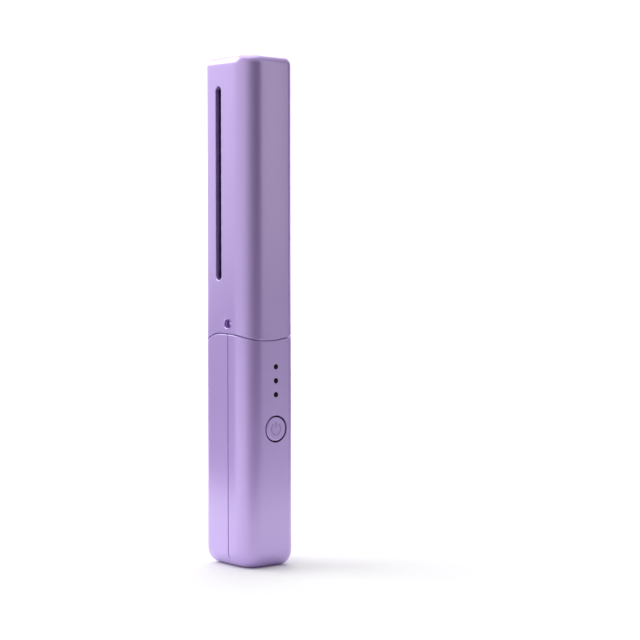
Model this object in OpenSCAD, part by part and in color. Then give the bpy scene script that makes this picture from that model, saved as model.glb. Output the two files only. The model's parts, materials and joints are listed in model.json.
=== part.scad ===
// Cordless heated comb with a pull-off cap.
// Z is up and the base stands on Z = 0. The button faces -Y. Millimetres.

/* [Body] */
// Width of the body across the button face, along X
body_w = 24; // [23.6:0.1:25]
// Depth of the body from the button face to the back, along Y
body_d = 27; // [26.6:0.1:28]
// Overall height with the cap on
total_h = 196; // [195.5:0.5:200]
// Radius of the two soft upright corners
soft_r = 8.3; // [7.5:0.1:8.8]
// Radius of the two tight upright corners
tight_r = 3.5; // [3.2:0.1:4]
// Rounding of the foot and of the cap's top edge
edge_r = 2.6; // [1.5:0.1:3]

/* [Handle and seam] */
// Wall of the handle casing
handle_wall = 1.8; // [1.6:0.1:1.9]
// Height of the seam at the crest of its arch
rim_z = 89.5; // [89:0.5:90]
// Radius of the arch that the seam follows
arch_r = 24; // [23:1:30]
// Place of the arch's crest along Y
arch_y = -3; // [-4:0.5:0]
// Slant of the handle's parting plane
parting_tilt = -11.3; // [-12:0.1:-8]

/* [Cap] */
// Wall of the cap
cap_wall = 1.6; // [1.4:0.1:1.6]
// Thickness of the cap's crown
cap_crown = 2; // [1.6:0.1:2.4]
// Open line between the cap and the handle
seam_gap = 0.3; // [0.3:0.05:0.5]
// Width of the vent slot
slot_w = 4.1; // [3:0.1:5]
// Lowest and highest point of the vent slot
slot_z = [110.3, 184.2];
// Place of the vent slot along Y
slot_y = 3.7; // [2:0.1:5]

/* [Comb] */
// Turn of the comb blade from +Y towards -X, in degrees
blade_turn = 38; // [36:1:40]
// Number of teeth
tooth_n = 14; // [8:1:14]
// Pitch of the teeth
tooth_pitch = 5; // [4.8:0.1:5]
// Height of the lowest tooth
tooth_z = 115.2; // [115:0.1:115.5]
// Gap between teeth at the root
root_gap = 2.7; // [2.4:0.1:2.8]
// Gap between teeth at the tips
tip_gap = 3.3; // [3:0.1:3.4]
// How far the collar is set in from the body's face
collar_in = 2; // [2:0.05:2.1]
// How far the collar's shoulder stands above the seam
shoulder_rise = 6.4; // [6:0.1:7]

/* [Button and lights] */
// Diameter of the power button
button_d = 10.3; // [9:0.1:10.6]
// Place of the button and the lights along X
button_x = 2.6; // [2.2:0.1:3]
// Height of the button's centre
button_z = 53.3; // [52:0.5:55]
// Travel of the button
button_travel = 0.5; // [0.3:0.1:0.5]
// Diameter of an indicator lens
lens_d = 2; // [1.6:0.1:2.2]
// Pitch of the indicator lenses
lens_pitch = 5.35; // [5:0.05:5.5]
// Height of the lowest lens
lens_z = 66.5; // [66:0.5:67]

/* [Battery] */
// Diameter of the cell
cell_d = 18.4; // [18:0.1:18.5]
// Length of the cell
cell_l = 65; // [63:0.5:65]
// Height of the cell's lower end
cell_z = 9.5; // [9.5:0.5:10]
// Place of the cell's axis along Y
cell_y = 2.2; // [2:0.1:2.3]

/* [Hidden] */
$fn = 64;
eps = 0.01;
big = 80;

// Colours
lavender = [0.66, 0.56, 0.80];
black = [0.06, 0.06, 0.07];

// Faces of the body and the arches
face_x = body_w / 2;
face_y = body_d / 2;
arch_z = rim_z - arch_r;
shoulder_r = arch_r + shoulder_rise;

// Parting planes of the handle and of the comb, and the latch between comb and cap
parting_y = -4.5;
comb_parting_y = -3;
comb_parting_tilt = -13.4;
latch_z = 93.7;
latch_d = 2.9;
latch_y = [-2.1, -6.6];

// Collar of the comb and the bell that narrows it to the neck
collar_z = 77;
collar_wall = 1.7;
collar_top = 97;
mouth_top = 79.5;
bump_r = 1.4;
bell_z = [91, 101.4];
bell_steps = 6;
bell_points = 48;

// Blade in plan: S runs from the spine to the tooth tips, T across it, away from the cover
spine = [-9.2, 0, 4];
crease = [5.8, 3.9, 1.5];
nose = [9.4, 0, 1.8];
neck = [4.6, 3.6, 1.5];
web_s = [3.6, 5.1];
web_t = 1.3;
bay_s = [-6.5, 6.5];
bay_t = 3.75;

// Blade in height
neck_top = 106.4;
neck_s = 6.3;
blade_foot = 92;
comb_top = 192.7;
head_r = 18;
head_s = -3;
root_s = -6.8;
tip_s = 12.5;
scoop_r = 5.4;
scoop_t = 8.2;
scoop_s = -1.4;
scoop_turn = 8;
scoop_z = 101.7;
scoop_points = 24;
channel = [6, 3.6];
channel_s = -1.5;

// Finned bar
bar_t = 2.2;
bar_s = [-6.2, 3.4];
bar_z = [110.2, 185];
fin_s = 6.3;
fin_t = 3.6;
fin_low = 0.9;
fin_high = 1.3;
pocket_t = 0.9;
pocket_s = [-5.4, 1.6];
heater_t = 0.55;
heater_z = 112;
film_t = 0.3;
fuse_s = -3.1;
fuse_z = [93, 101];
sensor_s = -1;
lead_s = 0.7;
lead_d = 1;

// Board and socket
board_y = [-8.9, -8.1];
board_x = [-8.4, 9.4];
board_z = [2.4, 76];
socket_x = 0.5;
socket_y = -6.4;
socket_w = 9;
socket_t = 3.3;
socket_z = [0.4, 7.4];
board_screw_x = 6.6;
board_screw_z = [12, 69];

// Screws and the button's flange
screw_d = 1.6;
screw_x = [-5.8, 6.4];
screw_z = 83;
screw_y = [-9.2, 3.5];
flange_y = -face_y + handle_wall + 0.3;

// One upright corner of the body's section as centre and radius, set in by a distance
function corner(sx, sy, r, inset) = let(q = max(r - inset, 0.4))
    [sx * (face_x - inset - q), sy * (face_y - inset - q), q];
function body_corners(inset) = [corner(-1, -1, soft_r, inset), corner(1, -1, tight_r, inset),
    corner(1, 1, soft_r, inset), corner(-1, 1, tight_r, inset)];

// Place of a point of the blade's plan in X and Y
function blade_xy(s, t) = [-s * sin(blade_turn) - t * cos(blade_turn), s * cos(blade_turn) - t * sin(blade_turn)];

// Ends of the outer tangent from one circle to the next, going anticlockwise
function tangent(a, b) = let(d = [b.x - a.x, b.y - a.y],
        dir = atan2(d.y, d.x) - acos((a[2] - b[2]) / norm(d)), u = [cos(dir), sin(dir)])
    [[a.x, a.y] + a[2] * u, [b.x, b.y] + b[2] * u];

// Taut outline round a ring of circles, which may stand proud of it by a hair so that arcs and lines cross
module band(circles, proud = 0) {
    n = len(circles);
    polygon([for (i = [0:n - 1]) each tangent(circles[i], circles[(i + 1) % n])]);
    for (c = circles) translate([c.x, c.y]) circle(r = c[2] + proud);
}

module stadium(w, h) {
    square([w - h, h], center = true);
    for (x = [-1, 1]) translate([x * (w - h) / 2, 0]) circle(d = h);
}

// Upright prism of the body's section, set in from its faces
module prism(inset, z0, z1) {
    translate([0, 0, z0]) linear_extrude(z1 - z0) band(body_corners(inset));
}

// Rounded edge between the full section and a flat end, which faces down (side = 1) or up (side = -1)
module soft_end(z, side) {
    hull() for (a = [0:15:90]) let(inset = edge_r * (1 - sin(a)), rise = edge_r * (1 - cos(a)))
        for (c = body_corners(inset)) translate([c.x, c.y, z + side * rise - (side < 0 ? eps : 0)])
            cylinder(r = c[2], h = eps, $fn = 40);
}

// Everything under the arch of radius r
module under_arch(r) {
    translate([0, arch_y, arch_z]) rotate([0, 90, 0]) cylinder(r = r, h = big, center = true);
    translate([-big / 2, -big / 2, -1]) cube([big, big, arch_z + 1]);
}

// Half space in front of an upright parting plane
module front_side(y = parting_y, tilt = parting_tilt) {
    translate([0, y, -1]) rotate([0, 0, tilt]) translate([-big, -2 * big, 0]) cube([2 * big, 2 * big, 3 * big]);
}

// Children drawn in S, T and Z are turned into the blade's place
module in_blade() {
    rotate([0, 0, 90 + blade_turn]) children();
}

// Children drawn in S and Z become a plate across the whole blade
module across_blade() {
    in_blade() rotate([90, 0, 0]) linear_extrude(big / 2, center = true) children();
}

module block(x, y, z) {
    translate([x[0], y[0], z[0]]) cube([x[1] - x[0], y[1] - y[0], z[1] - z[0]]);
}

// Pin along Y with its front end at y
module face_pin(x, y, z, d, l) {
    translate([x, y, z]) rotate([-90, 0, 0]) cylinder(d = d, h = l);
}

module handle_solid() {
    difference() {
        intersection() {
            union() {
                prism(0, edge_r, rim_z);
                soft_end(0, 1);
            }
            under_arch(arch_r);
        }
        prism(handle_wall, handle_wall, rim_z + 1);
        // opening for the charging plug
        translate([socket_x, socket_y, -1]) linear_extrude(handle_wall + 2)
            stadium(socket_w + 0.4, socket_t + 0.4);
    }
}

module handle_front_shell() color(lavender) {
    difference() {
        intersection() {
            handle_solid();
            front_side();
        }
        face_pin(button_x, -face_y - 1, button_z, button_d + 0.7, handle_wall + 2);
        for (i = [0:2]) face_pin(button_x, -face_y - 1, lens_z + i * lens_pitch, lens_d + 0.1, handle_wall + 2);
    }
}

module handle_back_shell() color(lavender) {
    difference() {
        handle_solid();
        front_side();
    }
}

module cap_shell() color(lavender) {
    difference() {
        union() {
            prism(0, rim_z - 8, total_h - edge_r);
            soft_end(total_h, -1);
        }
        prism(cap_wall, rim_z - 9, total_h - cap_crown);
        under_arch(arch_r + seam_gap);
        // vent slot beside the tooth tips
        translate([-face_x, slot_y, (slot_z[0] + slot_z[1]) / 2]) rotate([90, 0, -90])
            linear_extrude(3 * cap_wall, center = true) rotate(90) stadium(slot_z[1] - slot_z[0], slot_w);
        // latch holes and the run-in grooves under them
        for (i = [0, 1]) translate([(2 * i - 1) * face_x, latch_y[i], 0]) {
            translate([0, 0, latch_z]) rotate([0, 90, 0]) cylinder(d = latch_d, h = 4 * cap_wall, center = true);
            translate([(1 - 2 * i) * cap_wall, 0, latch_z - 10]) linear_extrude(10)
                square([1, latch_d], center = true);
        }
    }
}

// What is cut from the side view of the blade, in S and Z: the gaps between teeth, the round of the head
// and the space in front of the neck
module blade_cuts() {
    for (i = [0:tooth_n]) let(z = tooth_z + (i - 0.5) * tooth_pitch)
        band([[root_s, z, root_gap / 2], [tip_s + 1, z, tip_gap / 2]]);
    translate([head_s, comb_top - head_r]) polygon([[big / 2, 0], [big / 2, head_r + 5], [-big / 2, head_r + 5],
        [-big / 2, 0], for (a = [180:-3:0]) head_r * [cos(a), sin(a)]]);
    polygon([[neck_s, blade_foot - 1], [big / 2, blade_foot - 1], [big / 2, neck_top + 2.4], [tip_s, neck_top + 2.4],
        [neck_s, neck_top]]);
}

// Outermost point, towards angle a, of the outline round a ring of circles
function rim_point(circles, a) = let(u = [cos(a), sin(a)],
        reach = [for (c = circles) c.x * u.x + c.y * u.y + c[2]],
        c = circles[search(max(reach), reach)[0]])
    [c.x + c[2] * u.x, c.y + c[2] * u.y];

// Solid skin through rings of points, each ring with n points that run anticlockwise seen from its end
module skin(points, n) {
    last = len(points) / n - 1;
    polyhedron(points, [[for (k = [0:n - 1]) k], [for (k = [n - 1:-1:0]) last * n + k],
        for (i = [0:last - 1], k = [0:n - 1]) let(m = (k + 1) % n, a = i * n + k, b = i * n + m)
            each [[a, b + n, b], [a, a + n, b + n]]]);
}

// Bell that blends the collar's section into the neck's
module bell() {
    from = body_corners(collar_in + 0.1);
    far = blade_xy(neck.x, neck.y);
    near = blade_xy(neck.x, -neck.y);
    front = blade_xy(neck.x, 0);
    back = blade_xy(spine.x, 0);
    into = [[far.x, far.y, neck[2]], [back.x, back.y, spine[2] - 0.1], [near.x, near.y, neck[2]],
        [front.x, front.y, neck[2]]];
    skin([for (i = [0:bell_steps]) let(k = i / bell_steps, mix = 1 - pow(1 - k, 1.9),
            ring = [for (j = [0:3]) from[j] + (into[j] - from[j]) * mix])
        for (a = [0:bell_points - 1]) let(p = rim_point(ring, 360 * (a + 0.5) / bell_points))
            [p.x, p.y, bell_z[0] + (bell_z[1] - bell_z[0]) * k]], bell_points);
}

// Hollow where the finned bar lies, leaving the web that ties the teeth together
module bar_bay() {
    in_blade() translate([0, 0, bar_z[0] - 0.3]) linear_extrude(bar_z[1] - bar_z[0] + 0.6) difference() {
        translate([bay_s[0], -bay_t]) square([bay_s[1] - bay_s[0], 2 * bay_t]);
        translate([web_s[0] + 0.05, 0.05 - web_t]) square([tip_s, 2 * web_t - 0.1]);
    }
}

// Thumb scoop on one side of the neck, with a round end towards the spine
module scoop(side) {
    in_blade() translate([scoop_s, side * scoop_t, scoop_z]) rotate([0, 90, -side * scoop_turn])
        skin([for (a = [5, 30, 60, 90, 91]) let(r = scoop_r * sin(min(a, 90)), z = a > 90 ? 20 : -scoop_r * cos(a))
            for (k = [0:scoop_points - 1]) [r * cos(360 * k / scoop_points), r * sin(360 * k / scoop_points), z]],
            scoop_points);
}

module comb_solid() {
    difference() {
        union() {
            intersection() {
                prism(collar_in, collar_z, collar_top);
                under_arch(shoulder_r);
            }
            bell();
            difference() {
                in_blade() translate([0, 0, blade_foot]) linear_extrude(comb_top - blade_foot + 1)
                    band([spine, [crease.x, -crease.y, crease[2]], nose, [crease.x, crease.y, crease[2]]], 0.004);
                across_blade() blade_cuts();
            }
            for (i = [0, 1]) snap_bump(2 * i - 1, latch_y[i]);
        }
        // mouth of the collar, its notch for the lights and the lead channel through the neck
        prism(collar_in + collar_wall, collar_z - 1, mouth_top);
        block([button_x - 2.2, button_x + 2.2], [-face_y, -9.5], [collar_z - 1, lens_z + 2 * lens_pitch + 2.6]);
        in_blade() translate([channel_s, 0, mouth_top - 1]) linear_extrude(bar_z[0] - mouth_top + 2)
            square(channel, center = true);
        for (side = [-1, 1]) scoop(side);
        bar_bay();
        for (x = screw_x) comb_bore(x, comb_parting_y + x * tan(comb_parting_tilt));
    }
}

// Bore for one screw of the comb: pilot in the front half, clearance in the back half, room for the head
module comb_bore(x, y) {
    face_pin(x, screw_y[0] - 0.3, screw_z, screw_d, y - screw_y[0] + 0.3);
    face_pin(x, y - eps, screw_z, screw_d + 0.3, screw_y[1] - y + 2 * eps);
    face_pin(x, screw_y[1], screw_z, 3.4, face_y);
}

// Snap bump on the collar; side is -1 or 1 along X
module snap_bump(side, y) {
    translate([side * (face_x - collar_in - 0.6), y, latch_z]) rotate([0, side * 90, 0])
        cylinder(r1 = bump_r + 0.2, r2 = bump_r - 0.9, h = 1.4);
}

module comb_front() color(lavender) {
    intersection() {
        comb_solid();
        front_side(comb_parting_y, comb_parting_tilt);
    }
}

module comb_back() color(lavender) {
    difference() {
        comb_solid();
        front_side(comb_parting_y, comb_parting_tilt);
    }
    // web between the teeth, in front of the finned bar
    in_blade() block(web_s, [-web_t, web_t], [bar_z[0] - 1, bar_z[1] + 1]);
}

// Finned aluminium bar with a pocket for the heater
module heating_plate() color(black) {
    in_blade() difference() {
        union() {
            block(bar_s, [-bar_t, bar_t], bar_z);
            for (i = [0:tooth_n - 1]) translate([0, 0, tooth_z + i * tooth_pitch - fin_low])
                linear_extrude(fin_low + fin_high) difference() {
                    translate([bar_s[0], -fin_t]) square([fin_s - bar_s[0], 2 * fin_t]);
                    translate([bar_s[1], -web_t - 0.1]) square([fin_s, 2 * web_t + 0.2]);
                }
        }
        block(pocket_s, [-pocket_t, pocket_t], [bar_z[0] - 1, bar_z[1] - 1]);
    }
}

module ceramic_heater() color("ivory") {
    in_blade() block([-5.2, 1.4], [-heater_t, heater_t], [heater_z, bar_z[1] - 1.6]);
}

module heater_films() color("orange") {
    in_blade() for (side = [-1, 1]) translate([0, side * (heater_t + pocket_t) / 2, 0])
        block([-5.2, 1.4], [-film_t / 2, film_t / 2], [heater_z, bar_z[1] - 1.6]);
}

module thermal_fuse() color("silver") {
    in_blade() translate([fuse_s, 0, fuse_z[0]]) cylinder(d = 2.4, h = fuse_z[1] - fuse_z[0]);
}

module thermistor() color("darkred") {
    in_blade() translate([sensor_s, 0, bar_z[0] - 3]) cylinder(d = 1.7, h = 4.4);
    wire([[-3.2, -9.3, 73], [-3.2, -9.45, 75.8], [-3.2, -8.9, 77.3], [-2.2, -6.4, 78.3],
        in_channel(sensor_s, 78.8), in_channel(sensor_s, 82), in_channel(sensor_s, bar_z[0] - 2.8)], 0.7);
}

// Point of the lead channel's mid-plane, in X, Y and Z
function in_channel(s, z) = [blade_xy(s, 0).x, blade_xy(s, 0).y, z];

function unit(v) = v / norm(v);

// Round wire along points, none of whose stretches runs along X
module wire(points, d) {
    n = len(points);
    skin([for (i = [0:n - 1]) let(way = unit(points[min(i + 1, n - 1)] - points[max(i - 1, 0)]),
            u = unit(cross(way, [1, 0, 0])), v = cross(way, u))
        for (k = [0:7]) points[i] + d / 2 * (cos(45 * k) * u + sin(45 * k) * v)], 8);
}

module heater_leads() color("white") {
    wire([[-5, -9.42, 73], [-5, -9.6, 75.8], [-5, -9, 77.3], [-3.9, -6.6, 78.2], in_channel(lead_s, 78.7),
        in_channel(lead_s, 82), in_channel(lead_s, heater_z)], lead_d);
    wire([[-1.4, -9.42, 73], [-1.4, -9.6, 75.8], [-1.4, -9, 77.3], [-0.4, -6.6, 78.2], in_channel(fuse_s, 78.7),
        in_channel(fuse_s, 82), in_channel(fuse_s, fuse_z[0])], lead_d);
    wire([in_channel(fuse_s, fuse_z[1]), in_channel(fuse_s, heater_z)], lead_d);
}

module comb_screws() color("silver") {
    for (x = screw_x) difference() {
        union() {
            face_pin(x, screw_y[0], screw_z, screw_d, screw_y[1] - screw_y[0] + eps);
            face_pin(x, screw_y[1], screw_z, 3.1, 1.2);
        }
        // cross recess
        for (a = [0, 90]) translate([x, screw_y[1] + 1.2, screw_z]) rotate([0, a, 0]) cube([2, 1.2, 0.5], center = true);
    }
}

module power_button() color(lavender) {
    difference() {
        face_pin(button_x, -face_y, button_z, button_d, handle_wall + 0.4);
        // soft edge of the button's face
        face_pin(button_x, -face_y - 1, button_z, button_d + 2, 1);
    }
    face_pin(button_x, flange_y, button_z, button_d + 2.1, 0.6);
}

module switch_plunger() color("dimgray") {
    face_pin(button_x, flange_y + 0.6, button_z, 2.4, 1.2);
}

module tactile_switch() color(black) {
    difference() {
        block([button_x - 3, button_x + 3], [board_y[0] - 1.05, board_y[0]], [button_z - 3, button_z + 3]);
        face_pin(button_x, board_y[0] - 2, button_z, 3.1, 3);
    }
}

module light_guides() color(black) {
    for (i = [0:2]) face_pin(button_x, -face_y, lens_z + i * lens_pitch, lens_d, handle_wall + 0.1);
    block([button_x - 1.7, button_x + 1.7], [-face_y + handle_wall + 0.05, -face_y + handle_wall + 0.95],
        [lens_z - 2, lens_z + 2 * lens_pitch + 2]);
}

module indicator_leds() color("white") {
    for (i = [0:2]) block([button_x - 1, button_x + 1], [board_y[0] - 0.8, board_y[0]],
        [lens_z + i * lens_pitch - 0.65, lens_z + i * lens_pitch + 0.65]);
}

module control_board() color("darkgreen") {
    // tongue behind the top light
    block([button_x - 2.1, button_x + 2.1], board_y, [board_z[1] - 1, lens_z + 2 * lens_pitch + 1.4]);
    difference() {
        block(board_x, board_y, board_z);
        for (z = board_screw_z) face_pin(board_screw_x, board_y[0] - 1, z, screw_d, 3);
    }
}

module board_parts() color([0.12, 0.12, 0.13]) {
    chip([-5.6, -0.6], 1.0, [57, 62]);
    chip([-6, -2], 1.1, [34, 38]);
    chip([-6.4, -1.4], 2.2, [24, 29]);
    chip([3, 7], 1.4, [30, 34]);
    chip([4.4, 7.6], 0.9, [41, 44.2]);
    chip([-5, -3], 0.9, [45, 46.2]);
    chip([-5, -3], 0.9, [49, 50.2]);
    chip([3.4, 6.6], 1.8, [19, 24]);
}

// Component on the board's front, given its span in X, its height and its span in Z
module chip(x, h, z) {
    block(x, [board_y[0] - h, board_y[0]], z);
}

module board_screws() color("silver") {
    for (z = board_screw_z) {
        face_pin(board_screw_x, board_y[0], z, screw_d, board_y[1] - board_y[0] + 0.7);
        difference() {
            face_pin(board_screw_x, board_y[0] - 1, z, 3, 1);
            translate([board_screw_x, board_y[0] - 1, z]) cube([2, 0.8, 0.5], center = true);
        }
    }
}

module usb_socket() color("silver") {
    difference() {
        translate([socket_x, socket_y, socket_z[0]]) linear_extrude(socket_z[1] - socket_z[0])
            stadium(socket_w, socket_t);
        translate([socket_x, socket_y, socket_z[0] - 1]) linear_extrude(6.6)
            stadium(socket_w - 0.7, socket_t - 0.7);
    }
    // contact tongue
    block([socket_x - 3.3, socket_x + 3.3], [socket_y - 0.35, socket_y + 0.35], [socket_z[0] + 0.8, socket_z[1] - 1]);
}

module battery_cell() color("teal") {
    translate([0, cell_y, cell_z]) {
        cylinder(d = cell_d, h = cell_l - 0.8);
        cylinder(d = 5.6, h = cell_l);
    }
}

// Disc under or over the cell, trimmed to the casing
module cradle_disc(z0, z1) {
    intersection() {
        translate([0, cell_y, z0]) difference() {
            cylinder(d = cell_d + 0.6, h = z1 - z0);
            translate([0, 0, -1]) cylinder(d = 8, h = z1 - z0 + 2);
        }
        prism(handle_wall + 0.2, z0 - 1, z1 + 1);
    }
}

module battery_cradle() color("whitesmoke") {
    cradle_disc(cell_z - 1.9, cell_z - 0.35);
    cradle_disc(cell_z + cell_l + 0.4, cell_z + cell_l + 1.6);
    difference() {
        block([-7.4, 8.6], [board_y[1], cell_y - cell_d / 2 - 0.1], [cell_z - 1.9, cell_z + cell_l + 1.6]);
        for (z = board_screw_z) face_pin(board_screw_x, board_y[1] - 1, z, screw_d, 1.7);
    }
}

module battery_tabs() color("gainsboro") {
    for (z = [cell_z - 0.3, cell_z + cell_l]) block([-2.5, 2.5], [cell_y - 3.4, cell_y + 3.4], [z, z + 0.3]);
}

module battery_pad() color("gray") {
    translate([0, cell_y, cell_z + cell_l - 0.8]) difference() {
        cylinder(d = cell_d - 1, h = 0.7);
        translate([0, 0, -1]) cylinder(d = 7, h = 3);
    }
}

module battery_leads() color("red") {
    wire([[0, cell_y, cell_z + cell_l + 0.3], [0, cell_y, 75.8], [0.2, cell_y - 0.3, 76.4], [1.4, 0.6, 77.2], [5, -3.4, 77.3],
        [6.5, -6.6, 77.6], [6.5, -9, 77.4], [6.5, -9.65, 75.8], [6.5, -9.47, 72.6]], 1.1);
    wire([[0, cell_y, cell_z - 0.3], [0, cell_y, 7.6], [-0.2, cell_y - 0.5, 6.6], [-4, -2, 5], [-6, -6, 4.6],
        [-6.4, board_y[1] + 0.1, 4.6]], 1.1);
}

handle_front_shell();
handle_back_shell();
cap_shell();
comb_front();
comb_back();
heating_plate();
ceramic_heater();
heater_films();
thermal_fuse();
thermistor();
heater_leads();
power_button();
switch_plunger();
tactile_switch();
light_guides();
indicator_leds();
control_board();
board_parts();
board_screws();
usb_socket();
battery_cell();
battery_cradle();
battery_tabs();
battery_pad();
battery_leads();
comb_screws();
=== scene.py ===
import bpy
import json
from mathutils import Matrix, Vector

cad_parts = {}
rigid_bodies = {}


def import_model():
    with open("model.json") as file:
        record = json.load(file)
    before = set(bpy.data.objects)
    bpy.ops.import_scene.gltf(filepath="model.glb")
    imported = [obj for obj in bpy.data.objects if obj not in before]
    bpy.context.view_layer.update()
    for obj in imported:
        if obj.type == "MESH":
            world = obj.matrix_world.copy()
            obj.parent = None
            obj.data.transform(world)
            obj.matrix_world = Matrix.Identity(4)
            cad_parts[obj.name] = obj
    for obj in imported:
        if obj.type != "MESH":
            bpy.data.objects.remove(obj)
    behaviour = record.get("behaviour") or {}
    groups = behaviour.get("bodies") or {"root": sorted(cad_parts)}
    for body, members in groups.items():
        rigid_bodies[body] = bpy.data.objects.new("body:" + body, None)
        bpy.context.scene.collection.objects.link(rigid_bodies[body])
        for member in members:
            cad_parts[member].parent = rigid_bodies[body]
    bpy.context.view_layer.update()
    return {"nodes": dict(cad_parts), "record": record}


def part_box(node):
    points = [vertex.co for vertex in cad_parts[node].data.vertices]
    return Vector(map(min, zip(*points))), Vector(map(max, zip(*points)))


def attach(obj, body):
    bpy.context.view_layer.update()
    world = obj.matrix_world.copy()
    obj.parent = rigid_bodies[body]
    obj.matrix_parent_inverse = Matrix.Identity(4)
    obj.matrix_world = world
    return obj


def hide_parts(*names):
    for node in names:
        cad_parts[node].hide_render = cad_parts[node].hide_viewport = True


bl_info = {
    "name": "Heated Comb Builder",
    "version": (1, 0, 0),
    "blender": (4, 5, 0),
    "location": "View3D > Sidebar > Heated Comb",
    "description": "Dresses a cordless heated comb: shells, comb, button, lights and finishes",
    "category": "Object",
}

import json
import math
from types import SimpleNamespace

import bpy
import numpy as np
from mathutils import Vector

for thing in list(bpy.data.objects):
    bpy.data.objects.remove(thing)
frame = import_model()

MM = 0.001


# Sizes and colours that a user may change

def linear(value):
    """Linear colour from an sRGB hex triplet: in each channel, the power law of 2.4 above a straight foot."""
    channels = [int(value[i : i + 2], 16) / 255 for i in (0, 2, 4)]
    return [c / 12.92 if c <= 0.04045 else ((c + 0.055) / 1.055) ** 2.4 for c in channels] + [1.0]


def length(name, description, mm):
    """Setting of a length, given in millimetres and kept in metres."""
    return bpy.props.FloatProperty(
        name=name, description=description, default=mm * MM, unit="LENGTH", precision=5)


def colour(name, description, value):
    """Setting of a colour, given as an sRGB hex triplet and kept as linear colour."""
    return bpy.props.FloatVectorProperty(
        name=name, description=description, default=linear(value), size=4, subtype="COLOR")


class BodySizes(bpy.types.PropertyGroup):
    """Sizes of the handle and cap."""

    width: length("Width", "Across the section, from the side with the slot to its opposite", 24)
    depth: length("Depth", "Across the section, from the button face to the back", 27)
    height: length("Height with the cap on", "From the foot to the crown with the cap on", 196)
    soft_r: length("Radius of the soft corners", "Radius of the two round upright corners", 8.3)
    tight_r: length("Radius of the tight corners", "Radius of the two tight upright corners", 3.5)
    edge_r: length("Rounding of the crown", "Radius that rounds the crown into the sides", 3.8)
    foot_in: length("Foot drawn in", "How far the foot is drawn in at the floor", 4.6)
    foot_rise: length("Height of the foot's rounding", "Height at which the foot has its full section", 6.5)
    foot_left: length("Foot drawn in at the left", "How much more it is drawn in on the slot's side", 1.3)
    crowned: length("Crown of the flat sides", "How far a flat side's middle stands proud of its ends", 0.14)
    wall: length("Wall of the handle", "Thickness of the handle shell", 1.8)
    cap_wall: length("Wall of the cap", "Thickness of the cap", 1.6)
    crown: length("Thickness of the crown", "Thickness of the top of the cap", 2)
    rim_z: length("Crest of the seam", "Height of the highest point of the seam's arch", 89.5)
    arch_r: length("Radius of the seam's arch", "Radius of the arch that the seam follows", 24)
    arch_y: length("Place of the arch's crest", "Place of the crest of the arch along the depth", -3)
    seam: length("Open seam", "Gap between handle and cap", 0.5)
    lip_r: length("Rounding of the seam's edges", "Radius on both edges of the seam", 0.3)
    groove: length("Depth of the parting line", "Depth of the parting line in the handle", 0.9)


class FaceSizes(bpy.types.PropertyGroup):
    """Sizes of the button, lights, slot and latch holes."""

    button_d: length("Button diameter", "Diameter of the power button", 9.2)
    button_gap: length("Gap round the button", "Gap between the button and its hole", 0.62)
    button_x: length("Place along X", "Place of the button and lights across the face", 2.6)
    button_z: length("Button height", "Height of the middle of the button", 53.3)
    lens_d: length("Lens diameter", "Diameter of each light", 2)
    lens_z: length("Lowest lens", "Height of the lowest light", 66.5)
    lens_pitch: length("Lens pitch", "Distance from one light to the next", 5.35)
    slot_w: length("Slot width", "Width of the vent slot in the cap, inside its rounded lip", 3.4)
    slot_y: length("Slot place", "Place of the slot along the depth", 3.7)
    slot_low: length("Slot foot", "Height of the lower end of the slot", 110.3)
    slot_high: length("Slot top", "Height of the upper end of the slot", 184.2)
    latch_d: length("Latch hole", "Height of each latch hole without its clearance", 2.9)
    latch_z: length("Latch height", "Height of the middle of the latch holes", 93.7)


class CombSizes(bpy.types.PropertyGroup):
    """Sizes of the collar, neck and toothed blade."""

    turn: bpy.props.FloatProperty(
        name="Turn of the blade", description="Angle from the back to the line on which the teeth point",
        default=math.radians(38), unit="ROTATION")
    teeth: bpy.props.IntProperty(
        name="Teeth", description="How many free teeth the blade has", default=14, min=2, max=20)
    pitch: length("Tooth pitch", "Distance from tooth to tooth", 5)
    tooth_z: length("Lowest tooth", "Height of the lowest free tooth", 115.2)
    root_gap: length("Gap at the root", "Gap between teeth at the root", 2.4)
    tip_gap: length("Gap at the tips", "Gap between teeth at the tips", 3.5)
    root_s: length("Root's place", "Where the gaps begin along the blade, from the axis", -5.9)
    top: length("Top of the comb", "Height of the top of the blade", 192.7)
    head_r: length("Radius of the head", "Radius of the rounded head of the blade", 18)
    head_s: length("Middle of the head", "Middle of the rounded head along the blade", -3)
    collar_in: length("Collar set in", "How far the collar is set in from the skin", 2)
    collar_z: length("Collar's foot", "Height of the foot of the collar", 77)
    shoulder: length("Shoulder above the seam", "Height of the shoulder above the seam", 6.4)
    neck_z: length("Top of the bell", "Height at which the bell has become the neck", 102)
    neck_s: length("Neck's front", "Front of the neck along the blade", 6.3)
    block_z: length("Foot of the tooth block", "Height at which the tooth block starts to grow", 106.4)


class Colours(bpy.types.PropertyGroup):
    """Colours of the pieces that show, each under the name of its finish."""

    shell: colour("Shell", "Lavender of the handle, cap, comb and button", "C3A8EA")
    heater_bar: colour("Heated bar", "Black coating of the finned bar", "0B0B0C")
    lens: colour("Lights", "Smoked plastic of the three lights", "120818")
    mark: colour("Power sign", "Ink of the sign on the button", "9C87BC")


SETTINGS = {
    "heated_comb_body": BodySizes,
    "heated_comb_face": FaceSizes,
    "heated_comb_comb": CombSizes,
    "heated_comb_colours": Colours,
}
NO_LENGTHS = ("turn", "teeth")


def settings(*groups):
    """The named groups of sizes in millimetres, with an angle left in radians and a count as it is."""
    made = []
    for name in groups:
        group = getattr(bpy.context.scene, "heated_comb_" + name)
        plain = {k: getattr(group, k) for k in group.__annotations__}
        made.append(SimpleNamespace(**{k: v if k in NO_LENGTHS else v / MM for k, v in plain.items()}))
    return made


# Outlines

LEAST_R = 0.4                     # no corner gets tighter than this, however far an outline is set in
BACK_LIFT, FRONT_LIFT = 2.0, 1.0  # how far the seam rises off its arch at the back of -X and the front of +X


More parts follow.
